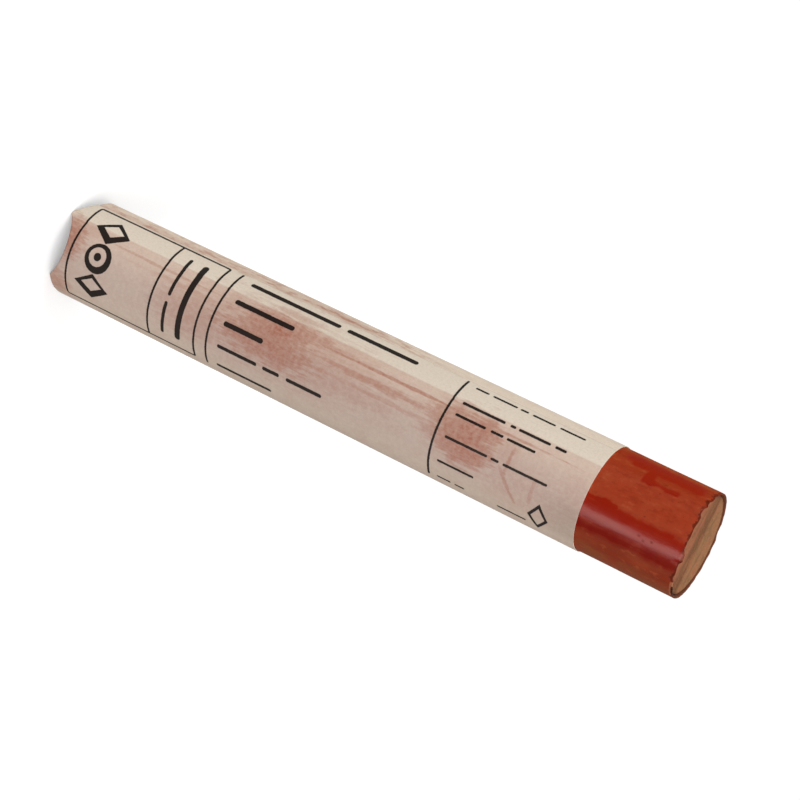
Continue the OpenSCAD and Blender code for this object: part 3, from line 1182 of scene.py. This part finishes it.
# %% Camera
lens = bpy.data.cameras.new("Camera")
lens.lens = 92.526
lens.sensor_width = 36
camera = bpy.data.objects.new("Camera", lens)
bpy.context.scene.collection.objects.link(camera)
right = Vector((-0.4373, 0.3500, 0.8284))
above = Vector((-0.8993, -0.1704, -0.4027))
back = Vector((0.0002, -0.9211, 0.3893))
camera.rotation_euler = Matrix((right, above, back)).transposed().to_euler()
camera.location = (0.0, -0.33527, 0.214618)
bpy.context.scene.camera = camera
print("camera at", [round(value, 3) for value in camera.location], "lens", lens.lens)

# %% [markdown]
# ## Floor
# The floor is one large pale plane. The picture's background is plain white, but a floor
# and sky that were white for everything would light the stick from all sides and wash
# out its shadows. So `seen_share` asks the Light Path: the camera sees them white, also
# through glass, a reflection sees a small share of the difference, and the light that
# they throw on the stick stays lower. Away from the stick the floor fades to plain white
# for the camera only, so that other views have no grey horizon.


# %% Floor
MIRRORED_SHARE = 0.18
FLOOR_FILL = 0.16


def seen_share(tree):
    """1 where the camera looks straight or through glass, less in a reflection, 0 for fill."""
    light_path = tree.nodes.new("ShaderNodeLightPath")
    mirrored = math_node(tree, "MULTIPLY", light_path.outputs["Is Glossy Ray"], MIRRORED_SHARE)
    straight = math_node(tree, "MAXIMUM", light_path.outputs["Is Camera Ray"], mirrored)
    return math_node(tree, "MAXIMUM", straight, light_path.outputs["Is Transmission Ray"])


bm = bmesh.new()
bmesh.ops.create_grid(bm, x_segments=4, y_segments=4, size=4.0)
floor_mesh = bpy.data.meshes.new("floor")
bm.to_mesh(floor_mesh)
bm.free()
floor = bpy.data.objects.new("floor", floor_mesh)
bpy.context.scene.collection.objects.link(floor)
floor_material, tree, shader = new_material("Pale floor")
coordinates = tree.nodes.new("ShaderNodeTexCoord")
tone = noise_node(tree, coordinates.outputs["Object"], 3.0, 2.0)
seen = mix(tree, tone, (0.95, 0.95, 0.95, 1), (0.97, 0.97, 0.97, 1))
fill_tone = (FLOOR_FILL, FLOOR_FILL, FLOOR_FILL, 1)
floor_colour = mix(tree, seen_share(tree), fill_tone, seen)
distance = vector_node(tree, "LENGTH", coordinates.outputs["Object"])
camera_ray = tree.nodes.new("ShaderNodeLightPath").outputs["Is Camera Ray"]
# Painted light: beside the stick the camera still sees a floor glow of 0.3, which lightens the
# stick's shadow there.
fade = math_node(tree, "MULTIPLY", span(tree, distance, 0.02, 0.45, 0.3, 1.0), camera_ray)
put(tree, shader.inputs["Base Color"], mix(tree, fade, floor_colour, (0, 0, 0, 1)))
shader.inputs["Emission Color"].default_value = (1, 1, 1, 1)
put(tree, shader.inputs["Emission Strength"], fade)
shader.inputs["Roughness"].default_value = 0.9
shader.inputs["Specular IOR Level"].default_value = 0.1
floor.data.materials.append(floor_material)
print("floor nodes", len(floor_material.node_tree.nodes))

# %% [markdown]
# ## Lights and sky
# Soft light comes from large panels, because a small lamp would draw hard shadows. A wide
# panel overhead and one in front light the whole, and one at the left lights the side
# that faces up in the picture. The long highlight down the wet paint is the mirror image
# of a tall strip at the front right. That strip gives no diffuse light, so it leaves the
# paper's colour alone. A pale sky fills the rest.


# %% Lights and sky
SKY_FILL = 0.55


def area_light(name, where, look_at, width, height, power, colour=(1, 1, 1)):
    data = bpy.data.lights.new(name, "AREA")
    data.shape = "RECTANGLE"
    data.size = width
    data.size_y = height
    data.energy = power
    data.color = colour
    light = bpy.data.objects.new(name, data)
    bpy.context.scene.collection.objects.link(light)
    light.location = where
    aim = Vector(where) - Vector(look_at)
    light.rotation_euler = aim.to_track_quat("Z", "Y").to_euler()
    return light


KEY_COLOUR = (1.0, 0.93, 0.88)
strip = area_light("Key strip", (0.144, -0.192, 0.12), (0, 0, 0.12), 0.075, 0.24, 0.76, KEY_COLOUR)
strip.visible_diffuse = False
area_light("Left panel", (-0.55, -0.15, 0.30), (0, 0, 0.08), 0.5, 0.5, 2.2)
area_light("Front panel", (0.45, -0.70, 0.60), (0, 0, 0.08), 0.7, 0.7, 6.2)
area_light("Overhead", (0.0, 0.35, 1.3), (0, 0.2, 0), 1.8, 1.8, 9.0)

world = bpy.data.worlds.new("Pale sky")
world.use_nodes = True
sky = world.node_tree
background = sky.nodes["Background"]
background.inputs["Color"].default_value = (1, 1, 1, 1)
put(sky, background.inputs["Strength"], span(sky, seen_share(sky), 0.0, 1.0, SKY_FILL, 1.0))
bpy.context.scene.world = world
bpy.context.scene.view_settings.view_transform = "Standard"
print("lights", [light.name for light in bpy.data.lights])
